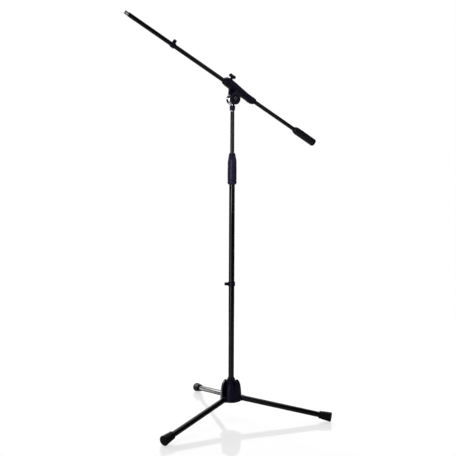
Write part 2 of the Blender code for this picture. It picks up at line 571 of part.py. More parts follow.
# ---------------------------------------------------------------- cable clips
def cable_clip(name, tube_r, wall, height, jaw_x, parent, location, rotation):
    """A ring along its own Z that grips a tube, with an open jaw for a cable at its +X side."""
    place = {"parent": parent, "location": location, "rotation": rotation}
    bore = tube_r + 0.0002
    outer, jaw_out, jaw_in, half = bore + wall, 0.0066, 0.0042, 0.0056
    profile = [(bore, height / 2), (outer - 0.0008, height / 2), (outer, height / 2 - 0.0012)]
    profile += [(outer, 0.0012 - height / 2), (outer - 0.0008, -height / 2), (bore, -height / 2)]
    ring = turned(name, profile, look=PLASTIC, **place)
    web = box(name + "_web_guide", (bore + wall / 2, -0.0030, -half),
              (jaw_x - (jaw_in + jaw_out) / 2, 0.0030, half), **place)
    jaw = tube(name + "_jaw_guide", jaw_out, jaw_in, -half, half, parent=ring, location=(jaw_x, 0, 0))
    mouth = box(name + "_mouth_cutter", (jaw_x + 0.0015, -0.0027, -0.02), (jaw_x + 0.02, 0.0027, 0.02),
                **place)
    boolean(ring, web, "UNION")
    boolean(ring, jaw, "UNION")
    cut(ring, mouth)


def build_stand():
    stand = frame("stand", location=(COLUMN_X, COLUMN_Y, 0))
    hub(stand)
    base_plate(stand)
    for number, azimuth in enumerate(LEG_AZIMUTHS, 1):
        leg_bolt(number, azimuth, stand)
        leg(number, azimuth, stand)
    lower_tube(stand)
    cable_clip("column_clip", LOWER_TUBE_R, 0.0026, 0.0170, 0.0215, stand, (0, 0, COLUMN_CLIP_Z), (0, 0, 150))
    clutch(stand)
    column(stand)
    swivel_nut(stand)
    swivel_base(stand)
    head = frame("tilt_axis", stand, (0, 0, PIVOT_Z), (0, BOOM_TILT, 0))
    boom_clamp(head)
    tilt_bolt(head)
    tilt_knob(head)
    thumb_screw(head)
    boom(head)
    cable_clip("boom_clip", BOOM_R, 0.0024, 0.0160, 0.0163, head, (BOOM_CLIP_X, 0, BOOM_ABOVE_PIVOT),
               (0, -90, 0))


clear_scene()
PARTS = new_collection("boom_microphone_stand")
CUTTERS = new_collection("cutters")
build_stand()
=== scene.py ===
"""Looks for the boom microphone stand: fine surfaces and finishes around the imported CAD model.

Everything is in metres, in the CAD model's frame. Places come from the CAD nodes and joints, and
the sizes written here are those of details that the CAD solids don't have, such as fillets.
"""

import json
import math

import bmesh
import bpy
from mathutils import Matrix, Vector

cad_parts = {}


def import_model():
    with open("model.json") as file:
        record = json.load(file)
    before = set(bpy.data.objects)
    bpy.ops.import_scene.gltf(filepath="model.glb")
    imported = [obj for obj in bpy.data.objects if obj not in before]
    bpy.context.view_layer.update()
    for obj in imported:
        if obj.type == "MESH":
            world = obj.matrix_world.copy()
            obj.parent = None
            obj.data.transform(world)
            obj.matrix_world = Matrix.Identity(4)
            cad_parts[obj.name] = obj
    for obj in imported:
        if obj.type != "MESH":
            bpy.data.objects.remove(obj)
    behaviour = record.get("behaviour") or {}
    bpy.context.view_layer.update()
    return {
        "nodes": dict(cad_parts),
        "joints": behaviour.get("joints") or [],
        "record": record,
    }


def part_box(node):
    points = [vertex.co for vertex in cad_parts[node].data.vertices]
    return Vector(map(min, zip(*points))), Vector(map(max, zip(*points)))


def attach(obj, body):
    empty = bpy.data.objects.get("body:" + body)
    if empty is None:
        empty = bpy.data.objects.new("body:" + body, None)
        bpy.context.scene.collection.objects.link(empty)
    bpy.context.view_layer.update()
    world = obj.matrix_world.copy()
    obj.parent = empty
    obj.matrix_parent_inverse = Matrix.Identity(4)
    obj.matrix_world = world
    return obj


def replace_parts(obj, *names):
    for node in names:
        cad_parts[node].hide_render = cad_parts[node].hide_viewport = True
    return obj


MM = 0.001
ROUND = 96                        # sides of a turned piece
LARGE_ROUND = 144                 # sides of one whose outline shows at close range

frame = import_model()
NODES = frame["nodes"]
JOINTS = {joint["name"]: joint for joint in frame["joints"]}
BODY_OF = {node: body for body, nodes in frame["record"]["behaviour"]["bodies"].items() for node in nodes}
SLOT_OF = {part["node"]: part["material_slot"] for part in frame["record"]["subparts"]}


# ---------------------------------------------------------------- places, from the frame
def turn(axis, degrees):
    return Matrix.Rotation(math.radians(degrees), 4, axis)


def stand_line():
    """The column's axis, from the floor up."""
    low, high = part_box("lower_tube")
    return Matrix.Translation(((low.x + high.x) / 2, (low.y + high.y) / 2, 0))


def head_line():
    """The boom clamp's frame: its origin on the tilt axis, X along the boom towards the weight."""
    mic_way = JOINTS["boom_roll"]["axis"]
    tilt = math.degrees(math.atan2(mic_way[2], -mic_way[0]))
    return Matrix.Translation(JOINTS["boom_tilt"]["pos_m"]) @ turn("Y", tilt)


def leg_line(number):
    """A leg's frame: its origin on the fold axis, X along the leg."""
    joint = JOINTS["leg_%d_fold" % number]
    pivot, axis = Vector(joint["pos_m"]), joint["axis"]
    azimuth = math.degrees(math.atan2(axis[0], -axis[1]))
    low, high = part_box("leg_%d_tube" % number)
    middle = (low + high) / 2 - pivot
    slope = math.degrees(math.atan2(-middle.z, math.hypot(middle.x, middle.y)))
    return Matrix.Translation(pivot) @ turn("Z", azimuth) @ turn("Y", slope)


STAND = stand_line()
HEAD = head_line()
ABOVE = (Vector(JOINTS["boom_roll"]["pos_m"]) - Vector(JOINTS["boom_tilt"]["pos_m"])).length
BOOM = HEAD @ Matrix.Translation((0, 0, ABOVE)) @ turn("Y", 90)    # Z runs towards the weight
TILT = HEAD @ turn("X", 90)                                        # Z runs out of the knob
LEGS = {number: leg_line(number) for number in (1, 2, 3)}
PIVOT_R = (Vector(JOINTS["leg_1_fold"]["pos_m"]) - STAND.translation).xy.length
PIVOT_Z = JOINTS["leg_1_fold"]["pos_m"][2]


def along(node, line):
    """Where a CAD node starts and ends along a line's Z, and its greatest radius about it."""
    inverse = line.inverted()
    points = [inverse @ vert.co for vert in NODES[node].data.vertices]
    heights = [point.z for point in points]
    return min(heights), max(heights), max(math.hypot(point.x, point.y) for point in points)


# ---------------------------------------------------------------- outlines
def rounded(corners, steps=5, closed=True):
    """Points through corners (x, y, fillet), with each fillet as a curve of this many steps."""
    points = []
    for i, (x, y, fillet) in enumerate(corners):
        here = Vector((x, y))
        if not fillet or (not closed and i in (0, len(corners) - 1)):
            points.append(here)
            continue
        back = Vector(corners[i - 1][:2]) - here
        ahead = Vector(corners[(i + 1) % len(corners)][:2]) - here
        reach = fillet / math.tan(back.angle(ahead) / 2)
        reach = min(reach, 0.49 * back.length, 0.49 * ahead.length)
        start, end = here + back.normalized() * reach, here + ahead.normalized() * reach
        for k in range(steps + 1):
            t = k / steps
            points.append(start * (1 - t) ** 2 + here * 2 * t * (1 - t) + end * t ** 2)
    return points


def dense(points, spacing):
    """The same outline with extra points, no further apart than this."""
    filled = []
    for a, b in zip(points, points[1:]):
        count = max(1, math.ceil((b - a).length / spacing))
        filled += [a.lerp(b, k / count) for k in range(count)]
    return filled + [points[-1]]


def arc(centre, radius, start, end, steps):
    angles = [math.radians(start + (end - start) * i / steps) for i in range(steps + 1)]
    return [(centre[0] + radius * math.cos(a), centre[1] + radius * math.sin(a)) for a in angles]


def smooth_step(low, high, value):
    t = min(1.0, max(0.0, (value - low) / (high - low)))
    return t * t * (3 - 2 * t)


# ---------------------------------------------------------------- meshes
def to_mesh(name, bm, line):
    bmesh.ops.recalc_face_normals(bm, faces=bm.faces)
    bmesh.ops.transform(bm, matrix=line, verts=bm.verts)
    mesh = bpy.data.meshes.new(name)
    bm.to_mesh(mesh)
    bm.free()
    return mesh


def turned(points, line, steps=ROUND, warp=None):
    """An outline of (radius, height) turned about a line's Z. warp(angle, radius, height) may give
    a new radius. An outline that doesn't start on the axis closes on itself."""
    bm = bmesh.new()
    rings = []
    for radius, height in points:
        if radius < 1e-6:
            rings.append([bm.verts.new((0, 0, height))])
            continue
        ring = []
        for k in range(steps):
            angle = 2 * math.pi * k / steps
            r = warp(angle, radius, height) if warp else radius
            ring.append(bm.verts.new((r * math.cos(angle), r * math.sin(angle), height)))
        rings.append(ring)
    pairs = list(zip(rings, rings[1:]))
    if len(rings[0]) > 1:
        pairs.append((rings[-1], rings[0]))
    for ring, other in pairs:
        for k in range(steps):
            corners = [ring[k % len(ring)], ring[(k + 1) % len(ring)],
                       other[(k + 1) % len(other)], other[k % len(other)]]
            bm.faces.new(list(dict.fromkeys(corners)))
    return to_mesh("turned", bm, line)


def tube(node, line, bore, fillet=0.4 * MM, steps=ROUND):
    """A fine tube where a CAD one is."""
    low, high, radius = along(node, line)
    corners = [(radius, high, fillet), (radius, low, fillet),
               (bore, low, fillet / 2), (bore, high, fillet / 2)]
    return turned(rounded(corners), line, steps)


def rod(radius, low, high, line, fillet=0.0, steps=64):
    corners = [(0, high, 0), (radius, high, fillet), (radius, low, fillet), (0, low, 0)]
    return turned(rounded(corners, 4, closed=False), line, steps)


def prism(outline, near, far, line, edge=0.0):
    """A flat outline of (x, z) points from y = near to y = far, with its two rims rounded."""
    bm = bmesh.new()
    face = bm.faces.new([bm.verts.new((x, near, z)) for x, z in outline])
    moved = bmesh.ops.extrude_face_region(bm, geom=[face])["geom"]
    top = [item for item in moved if isinstance(item, bmesh.types.BMVert)]
    bmesh.ops.translate(bm, vec=(0, far - near, 0), verts=top)
    if edge:
        rims = [e for e in bm.edges if abs(e.verts[0].co.y - e.verts[1].co.y) < 1e-9]
        bmesh.ops.bevel(bm, geom=rims, offset=edge, segments=4, profile=0.5, affect="EDGES")
    return to_mesh("prism", bm, line)


def block(low, high, line):
    outline = [(low[0], low[2]), (high[0], low[2]), (high[0], high[2]), (low[0], high[2])]
    return prism(outline, low[1], high[1], line)


def solid(start, steps, voxel=0.0, smoothing=0):
    """A mesh with others joined to it or cut from it, then remeshed and eased like a moulding."""
    shape = bpy.data.objects.new("shape", start)
    bpy.context.scene.collection.objects.link(shape)
    tools = []
    for operation, mesh in steps:
        tool = bpy.data.objects.new("tool", mesh)
        bpy.context.scene.collection.objects.link(tool)
        boolean = shape.modifiers.new("cut", "BOOLEAN")
        boolean.operation = operation
        boolean.solver = "EXACT"
        boolean.object = tool
        tools.append(tool)
    if voxel:
        remesh = shape.modifiers.new("even", "REMESH")
        remesh.mode = "VOXEL"
        remesh.voxel_size = voxel
        ease = shape.modifiers.new("ease", "SMOOTH")
        ease.factor = 0.5
        ease.iterations = smoothing
    graph = bpy.context.evaluated_depsgraph_get()
    made = bpy.data.meshes.new_from_object(shape.evaluated_get(graph))
    for used in tools + [shape]:
        bpy.data.objects.remove(used)
    return made


def join(*steps):
    return [("UNION", mesh) for mesh in steps]


def cut(*steps):
    return [("DIFFERENCE", mesh) for mesh in steps]


def put(name, mesh, node, finish, sharp):
    """A mesh in one of the finishes, riding on a CAD node's body."""
    piece = bpy.data.objects.new(name, mesh)
    bpy.context.scene.collection.objects.link(piece)
    mesh.shade_smooth()
    if sharp:
        mesh.set_sharp_from_angle(angle=math.radians(sharp))
    mesh.materials.clear()
    mesh.materials.append(FINISHES[finish])
    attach(piece, BODY_OF[node])
    return piece


def show(node, mesh, sharp=35, finish=None):
    """The fine mesh stands for its CAD node, rides on the node's body and takes its finish."""
    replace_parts(put(node + "_fine", mesh, node, finish or SLOT_OF[node], sharp), node)


def keep(node):
    """A piece that is hidden inside stays as its CAD solid, in its finish."""
    NODES[node].data.materials.clear()
    NODES[node].data.materials.append(FINISHES[SLOT_OF[node]])


# ---------------------------------------------------------------- finishes
class Finish:
    """A procedural material, built up from noise in the piece's own coordinates."""

    def __init__(self, name, metallic=0.0, coat=0.0, coat_roughness=0.1, specular=0.5, sheen=0.0):
        self.material = bpy.data.materials.new(name)
        self.material.use_nodes = True
        self.nodes = self.material.node_tree.nodes
        self.links = self.material.node_tree.links
        self.shader = self.nodes["Principled BSDF"]
        self.shader.inputs["Metallic"].default_value = metallic
        self.shader.inputs["Coat Weight"].default_value = coat
        self.shader.inputs["Coat Roughness"].default_value = coat_roughness
        self.shader.inputs["Specular IOR Level"].default_value = specular
        self.shader.inputs["Sheen Weight"].default_value = sheen
        self.place = self.nodes.new("ShaderNodeTexCoord").outputs["Object"]
        self.height = None

    def noise(self, size, detail=3.0, stretch=(1, 1, 1)):
        """Noise whose features are about this size, stretched along the axes."""
        mapping = self.nodes.new("ShaderNodeMapping")
        mapping.inputs["Scale"].default_value = [1 / (size * s) for s in stretch]
        self.links.new(self.place, mapping.inputs["Vector"])
        noise = self.nodes.new("ShaderNodeTexNoise")
        noise.inputs["Scale"].default_value = 1.0
        noise.inputs["Detail"].default_value = detail
        self.links.new(mapping.outputs["Vector"], noise.inputs["Vector"])
        return noise.outputs["Fac"]

    def colour(self, source, dark, light, low=0.35, high=0.65):
        ramp = self.nodes.new("ShaderNodeValToRGB")
        ramp.color_ramp.elements[0].position = low
        ramp.color_ramp.elements[0].color = (*dark, 1)
        ramp.color_ramp.elements[1].position = high
        ramp.color_ramp.elements[1].color = (*light, 1)
        self.links.new(source, ramp.inputs["Fac"])
        self.links.new(ramp.outputs["Color"], self.shader.inputs["Base Color"])

    def roughness(self, source, low, high):
        spread = self.nodes.new("ShaderNodeMapRange")
        spread.inputs["From Min"].default_value = 0.3
        spread.inputs["From Max"].default_value = 0.7
        spread.inputs["To Min"].default_value = low
        spread.inputs["To Max"].default_value = high
        self.links.new(source, spread.inputs["Value"])
        self.links.new(spread.outputs["Result"], self.shader.inputs["Roughness"])

    def bump(self, source, depth, strength=1.0):
        bump = self.nodes.new("ShaderNodeBump")
        bump.inputs["Distance"].default_value = depth
        bump.inputs["Strength"].default_value = strength
        self.links.new(source, bump.inputs["Height"])
        if self.height:
            self.links.new(self.height, bump.inputs["Normal"])
        self.height = bump.outputs["Normal"]
        self.links.new(self.height, self.shader.inputs["Normal"])


def enamel():
    """Glossy black enamel with faint handling marks."""
    made = Finish("black_enamel", specular=0.5)
    made.colour(made.noise(22 * MM, 4.0), (0.0024, 0.0021, 0.0042), (0.0044, 0.0039, 0.0074))
    made.roughness(made.noise(12 * MM, 4.0), 0.10, 0.16)
    made.bump(made.noise(6.0 * MM, 2.0), 0.004 * MM)
    return made.material


def powder_coat():
    """Satin powder coat on a casting, with a fine even pebble."""
    made = Finish("casting_powder_coat", specular=0.28)
    made.colour(made.noise(14 * MM, 5.0), (0.0080, 0.0066, 0.0230), (0.0140, 0.0118, 0.0350))
    made.roughness(made.noise(6 * MM, 4.0), 0.34, 0.44)
    made.bump(made.noise(0.8 * MM, 2.0), 0.008 * MM)
    made.shader.inputs["Specular Tint"].default_value = (0.82, 0.76, 1.0, 1)
    return made.material


def weight_paint():
    made = Finish("weight_satin_paint", specular=0.40)
    made.colour(made.noise(16 * MM, 4.0), (0.0060, 0.0055, 0.0110), (0.0100, 0.0092, 0.0165))
    made.roughness(made.noise(5 * MM, 4.0), 0.28, 0.38)
    made.bump(made.noise(1.2 * MM, 2.0), 0.006 * MM)
    return made.material


def moulded_plastic(name, dark, light):
    """Moulded black plastic with a fine spark-eroded grain."""
    made = Finish(name, specular=0.35)
    made.colour(made.noise(10 * MM, 5.0), dark, light)
    made.roughness(made.noise(4 * MM, 5.0), 0.32, 0.44)
    made.bump(made.noise(0.6 * MM, 3.0), 0.008 * MM)
    made.shader.inputs["Specular Tint"].default_value = (0.82, 0.76, 1.0, 1)
    return made.material


def foot_rubber():
    """Dark rubber, a little dusty, with a soft moulded texture."""
    made = Finish("foot_rubber", specular=0.18)
    made.colour(made.noise(9 * MM, 6.0), (0.0042, 0.0038, 0.0052), (0.0090, 0.0084, 0.0100))
    made.roughness(made.noise(5 * MM, 4.0), 0.44, 0.62)
    made.bump(made.noise(1.0 * MM, 3.0), 0.020 * MM)
    return made.material


def plated_steel():
    """Bright plated steel with faint turning marks around its axis."""
    made = Finish("bright_plated_steel", metallic=1.0)
    made.colour(made.noise(7 * MM, 4.0), (0.66, 0.66, 0.69), (0.84, 0.84, 0.86))
    made.roughness(made.noise(3 * MM, 5.0), 0.12, 0.24)
    made.bump(made.noise(0.8 * MM, 2.0, (1, 0.2, 1)), 0.003 * MM)
    return made.material


def dull_zinc():
    """Dull grey zinc plating, lightly mottled."""
    made = Finish("dull_zinc_plating", metallic=0.9)
    made.colour(made.noise(3 * MM, 4.0), (0.13, 0.13, 0.15), (0.20, 0.20, 0.22))
    made.roughness(made.noise(2 * MM, 4.0), 0.30, 0.42)
    made.bump(made.noise(0.6 * MM, 2.0), 0.003 * MM)
    return made.material


def black_oxide():
    """Blackened steel fasteners, slightly mottled."""
    made = Finish("black_oxide_steel", metallic=0.85)
    made.colour(made.noise(3 * MM, 5.0), (0.020, 0.020, 0.024), (0.060, 0.058, 0.062))
    made.roughness(made.noise(1.8 * MM, 4.0), 0.28, 0.44)
    made.bump(made.noise(0.5 * MM, 2.0), 0.004 * MM)
    return made.material


def plain_nylon():
    made = Finish("dark_nylon", specular=0.3)
    made.colour(made.noise(8 * MM, 4.0), (0.0080, 0.0080, 0.0100), (0.0180, 0.0180, 0.0200))
    made.roughness(made.noise(3 * MM, 4.0), 0.42, 0.58)
    made.bump(made.noise(0.6 * MM, 2.0), 0.008 * MM)
    return made.material


FINISHES = {
    "black_paint": enamel(), "casting": powder_coat(), "weight_paint": weight_paint(),
    "black_plastic": moulded_plastic("moulded_black_plastic",
                                     (0.0055, 0.0045, 0.0150), (0.0100, 0.0085, 0.0240)),
    "clutch_plastic": moulded_plastic("moulded_clutch_plastic",
                                      (0.0280, 0.0240, 0.0700), (0.0450, 0.0380, 0.1000)),
     "rubber": foot_rubber(), "bright_steel": plated_steel(),
    "dark_steel": black_oxide(), "nylon": plain_nylon(), "dull_zinc": dull_zinc(),
}


# ---------------------------------------------------------------- tripod base
HUB_SIDE = (
    (16.0, 149.5), (22.2, 147.5), (28.4, 143.0), (33.0, 136.8), (36.4, 128.0), (38.6, 116.0),
    (40.0, 102.5), (41.3, 80.0),
)
SLOT_HALF, CHEEK, CORE_R = 11.0 * MM, 4.2 * MM, 15.5 * MM
POCKET_TOP, WALL = 111 * MM, 3.8 * MM
NOTCH_LOW, NOTCH_RISE, NOTCH_SPREAD = 119 * MM, 26 * MM, 14 * MM


def hub_shell(low, high):
    """The bell with its collar, beaded rim and bore."""
    corners = [(11.3 * MM, high, 0), (13.4 * MM, high, 1.0 * MM), (13.4 * MM, high - 6.6 * MM, 1.5 * MM)]
    corners += [(r * MM, z * MM, 5 * MM) for r, z in HUB_SIDE]
    corners += [(41.2 * MM, low + 6.5 * MM, 1 * MM), (42 * MM, low + 5 * MM, 1 * MM),
                (42 * MM, low, 1.2 * MM)]
    corners += [(11.3 * MM, low, 0)]
    return turned(rounded(corners), STAND, LARGE_ROUND)


def hub_pockets(low, azimuths):
    """What is hollow under the bell, between the cheeks of each two slots."""
    floor = low - 3 * MM
    inside = [(r * MM - WALL, z * MM - WALL) for r, z in HUB_SIDE if z * MM - WALL < POCKET_TOP]
    points = [(CORE_R + 2 * MM, POCKET_TOP), (inside[0][0], POCKET_TOP)] + inside
    points += [(42 * MM - WALL, floor), (CORE_R + 2 * MM, floor)]
    half = SLOT_HALF + CHEEK
    cheeks = [block((0, -half, floor - 0.01), (0.06, half, 0.13), STAND @ turn("Z", a)) for a in azimuths]
    return solid(turned(points, STAND), cut(*cheeks))


def notch_outline():
    """Between two legs the bell opens upwards, which leaves a rounded arch beside each slot."""
    turns = [math.radians(90 * i / 20) for i in range(21)]
    right = [(1.2 * MM + NOTCH_SPREAD * (1 - math.cos(t)), NOTCH_LOW + NOTCH_RISE * math.sin(t))
             for t in turns]
    right.append((right[-1][0], NOTCH_LOW + NOTCH_RISE + 20 * MM))
    return right + [(-x, z) for x, z in reversed(right)]


def hub():
    low, high, _ = along("hub", STAND)
    azimuths = []
    for number in LEGS:
        axis = JOINTS["leg_%d_fold" % number]["axis"]
        azimuths.append(math.degrees(math.atan2(axis[0], -axis[1])))
    tools = [hub_pockets(low, azimuths)]
    for azimuth in azimuths:
        line = STAND @ turn("Z", azimuth)
        tools.append(block((CORE_R, -SLOT_HALF, 0.05), (0.07, SLOT_HALF, 0.17), line))
        tools.append(prism(notch_outline(), -0.07, -CORE_R, line @ turn("Z", 150)))
        pin = line @ Matrix.Translation((PIVOT_R, 0, PIVOT_Z)) @ turn("X", 90)
        tools.append(rod(3.2 * MM, -17 * MM, 40 * MM, pin))
    show("hub", solid(hub_shell(low, high), cut(*tools), 0.75 * MM, 6), sharp=0)


def base_plate():
    low, high, radius = along("hub_base_plate", STAND)
    corners = [(4.3 * MM, high, 0), (radius, high, 0.4 * MM), (radius, low, 1.4 * MM)]
    corners += [(22 * MM, low, 1 * MM), (20 * MM, low + 1.2 * MM, 1 * MM),
                (10 * MM, low + 1.2 * MM, 0.6 * MM)]
    corners += [(9 * MM, low, 0.6 * MM), (4.3 * MM, low, 0.3 * MM)]
    show("hub_base_plate", turned(rounded(corners), STAND, LARGE_ROUND))
    low, high, radius = along("hub_base_screw", STAND)
    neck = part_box("hub_base_plate")[0].z - 0.3 * MM
    head = turned(rounded([(0, neck, 0), (radius, neck, 0.4 * MM), (radius, low, 0.4 * MM), (0, low, 0)],
                          closed=False), STAND, 6)
    socket = turned([(0, low + 3 * MM), (3.4 * MM, low + 3 * MM),
                     (3.4 * MM, low - 1 * MM), (0, low - 1 * MM)],
                    STAND @ turn("Z", 15), 6)
    shank = rod(3.9 * MM, neck - 1 * MM, high, STAND, 0.6 * MM)
    show("hub_base_screw", solid(head, join(shank) + cut(socket)), 30)


def leg_bolt(number):
    pin = LEGS[number] @ turn("X", 90)
    low, high, radius = along("leg_%d_bolt" % number, pin)
    seat = 15.5 * MM
    corners = [(0, high, 0), (4.2 * MM, high, 0.9 * MM), (radius, high - 1.7 * MM, 0.5 * MM)]
    corners += [(radius, seat, 0.3 * MM), (2.9 * MM, seat, 0), (2.9 * MM, low, 0.5 * MM), (0, low, 0)]
    hexagon = [(0, high + 1 * MM), (2.3 * MM, high + 1 * MM),
               (2.3 * MM, high - 1.8 * MM), (0, high - 1.8 * MM)]
    body = turned(rounded(corners, closed=False), pin, 64)
    show("leg_%d_bolt" % number, solid(body, cut(turned(hexagon, pin, 6))), 30)
    low, high, radius = along("leg_%d_nut" % number, pin)
    nut = turned(rounded([(0, high, 0), (radius, high, 0.3 * MM), (radius, low, 0.5 * MM), (0, low, 0)],
                         3, closed=False), pin, 6)
    show("leg_%d_nut" % number, solid(nut, cut(rod(3.2 * MM, low - 1 * MM, high + 1 * MM, pin))), 30)


def hinge_block(number):
    """The casting that the leg's tube is pressed onto, with a raised collar where it starts."""
    line, node = LEGS[number], "leg_%d_hinge_block" % number
    spigot = line @ turn("Y", 90)
    start = along("leg_%d_tube" % number, spigot)[0] - 0.3 * MM
    half, width = 9 * MM, 10.5 * MM
    outline = arc((0, 0), half, 90, 270, 24) + [(start, -half), (start, half)]
    body = prism(outline, -width, width, line, 0.9 * MM)
    plug = rod(8.9 * MM, start - 4 * MM, start + 24 * MM, spigot, 0.5 * MM)
    hole = rod(3.2 * MM, -20 * MM, 20 * MM, line @ turn("X", 90))
    show(node, solid(body, join(plug) + cut(hole)), 30)


def foot(number):
    """A flared rubber boot: a bead at its mouth, faint moulded rings, a thick rounded rim and a
    slightly domed end, cut flat where it stands."""
    line = LEGS[number] @ turn("Y", 90)
    low, high, radius = along("leg_%d_foot" % number, line)
    bore, seat = 10.7 * MM, along("leg_%d_tube" % number, line)[1] + 0.3 * MM
    corners = [(0, high, 0), (8 * MM, high - 0.3 * MM, 2 * MM),
               (radius - 2.6 * MM, high - 0.9 * MM, 1.4 * MM)]
    corners += [(radius, high - 3.6 * MM, 1.6 * MM), (radius, high - 6.2 * MM, 0.8 * MM)]
    corners += [(radius - 0.7 * MM, high - 6.9 * MM, 0.4 * MM)]
    corners += [(14.9 * MM, low + 10.4 * MM, 1.5 * MM), (13.7 * MM, low + 8.2 * MM, 1 * MM)]
    corners += [(13.7 * MM, low + 6.4 * MM, 0.8 * MM), (14.4 * MM, low + 5.6 * MM, 0.8 * MM)]
    corners += [(14.4 * MM, low + 1 * MM, 1 * MM), (13 * MM, low, 0.6 * MM), (bore, low, 0.4 * MM)]
    corners += [(bore, seat, 0), (0, seat, 0)]
    bm = bmesh.new()
    bm.from_mesh(turned(rounded(corners, 6, closed=False), line, LARGE_ROUND))
    everything = bm.verts[:] + bm.edges[:] + bm.faces[:]
    bmesh.ops.bisect_plane(bm, geom=everything, plane_co=(0, 0, 0), plane_no=(0, 0, -1), clear_outer=True)
    rim = [edge for edge in bm.edges if edge.is_boundary]
    bmesh.ops.holes_fill(bm, edges=rim)
    show("leg_%d_foot" % number, to_mesh("foot", bm, Matrix.Identity(4)), 40)


def leg(number):
    leg_bolt(number)
    hinge_block(number)
    show("leg_%d_tube" % number, tube("leg_%d_tube" % number, LEGS[number] @ turn("Y", 90), 9.2 * MM))
    foot(number)


# ---------------------------------------------------------------- column
FLUTES = 6
STEM_FLAT = 23.2 * MM             # how far below the tilt axis the stem is flat-sided


def flute(angle, radius, height):
    """The cone of the grip narrows to ridges, between flutes that open and deepen upwards."""
    start, end = 0.9895, 1.0200
    if height < start or radius < 9.9 * MM:
        return radius
    rise = (height - start) / (end - start)
    half_width = math.pi / FLUTES * 0.86 * min(1.0, rise) ** 0.8
    offset = (angle - math.radians(18)) % (2 * math.pi / FLUTES) - math.pi / FLUTES
    if abs(offset) >= half_width:
        return radius
    return radius - 2.3 * MM * smooth_step(0, 0.8, rise) * math.cos(offset / half_width * math.pi / 2)


def clutch():
    low, high, radius = along("clutch_base", STAND)
    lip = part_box("clutch_grip")[0].z - 0.3 * MM
    corners = [(11.3 * MM, high, 0.3 * MM), (12.6 * MM, high, 0.6 * MM), (12.6 * MM, lip, 0)]
    corners += [(16.4 * MM, lip, 0.4 * MM), (16.4 * MM, lip - 1.2 * MM, 0.3 * MM)]
    corners += [(radius, lip - 2.2 * MM, 0.8 * MM), (radius, lip - 8 * MM, 2.5 * MM)]
    corners += [(14.6 * MM, low, 1.5 * MM), (11.3 * MM, low, 0.4 * MM)]
    show("clutch_base", turned(rounded(corners), STAND, LARGE_ROUND), finish="clutch_plastic")
    low, high, radius = along("clutch_grip", STAND)
    shoulder = 0.988
    corners = [(9.8 * MM, high - 0.8 * MM, 0.4 * MM), (11.1 * MM, high, 0.8 * MM)]
    corners += [(11.8 * MM, high - 2.4 * MM, 1.5 * MM), (16.0 * MM, shoulder + 8 * MM, 10 * MM)]
    corners += [(17.1 * MM, shoulder, 8 * MM), (17.5 * MM, 950 * MM, 20 * MM), (17.5 * MM, 922 * MM, 2 * MM)]
    corners += [(radius, 918.5 * MM, 1.2 * MM), (16.8 * MM, low, 0.8 * MM), (13 * MM, low, 0.3 * MM)]
    corners += [(13 * MM, 970 * MM, 0), (12 * MM, 972 * MM, 0), (12 * MM, 991 * MM, 0)]
    grip = turned(dense(rounded(corners, 7), 1 * MM), STAND, 288, flute)
    show("clutch_grip", grip, 50, "clutch_plastic")


def swivel_nut():
    """A round lock nut with shallow finger grooves that run out below its top edge."""
    low, high, radius = along("swivel_nut", STAND)

    def grooved(angle, r, height):
        if r < 9 * MM:
            return r
        depth = 0.9 * MM * smooth_step(low + 2 * MM, low + 6 * MM, height)
        depth *= 1 - smooth_step(high - 5 * MM, high - 2 * MM, height)
        return r - depth * max(0.0, math.cos(10 * angle)) ** 3

    corners = [(7.5 * MM, high, 0.3 * MM), (radius - 0.2 * MM, high, 1.8 * MM)]
    corners += [(radius, high - 9 * MM, 4 * MM), (9.9 * MM, low + 3 * MM, 2 * MM)]
    corners += [(8.9 * MM, low, 1 * MM), (7.5 * MM, low, 0.3 * MM)]
    show("swivel_nut", turned(dense(rounded(corners, 6), 0.8 * MM), STAND, 240, grooved), 50)


def swivel_base():
    """The bright disc between the ears, with a chamfered rim, and its stem."""
    low, high, _ = along("swivel_base", TILT)
    disc_r = 21 * MM
    corners = [(0, high, 0), (disc_r - 3.4 * MM, high, 0.6 * MM), (disc_r, high - 3.4 * MM, 0.8 * MM)]
    corners += [(disc_r, low, 0.7 * MM), (0, low, 0)]
    disc = turned(rounded(corners, 4, closed=False), TILT, LARGE_ROUND)
    stem_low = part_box("swivel_base")[0].z
    pivot = JOINTS["boom_tilt"]["pos_m"][2]
    stem = rod(7.2 * MM, stem_low, pivot, STAND, 0.4 * MM)
    near = block((-0.03, -0.03, pivot - STEM_FLAT), (0.03, -high, pivot + 0.03), STAND)
    far = block((-0.03, -low, pivot - STEM_FLAT), (0.03, 0.03, pivot + 0.03), STAND)
    stem = solid(stem, cut(near, far))
    bore = rod(5 * MM, stem_low - 0.01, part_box("column_stud")[1].z + 0.3 * MM, STAND)
    pin = rod(4.2 * MM, -0.03, 0.03, TILT)
    show("swivel_base", solid(disc, join(stem) + cut(bore, pin)), 30)
    for side in ("near", "far"):
        node = side + "_friction_washer"
        show(node, tube(node, TILT, 4.2 * MM, 0.2 * MM))


def column():
    show("lower_tube", tube("lower_tube", STAND, 9.8 * MM))
    clutch()
    show("upper_tube", tube("upper_tube", STAND, 7 * MM))
    swivel_nut()
    swivel_base()
    for node in ("column_foot_plug", "guide_sleeve", "upper_tube_end_plug", "column_stud", "clutch_collet",
                 "thumb_screw_pad"):
        keep(node)


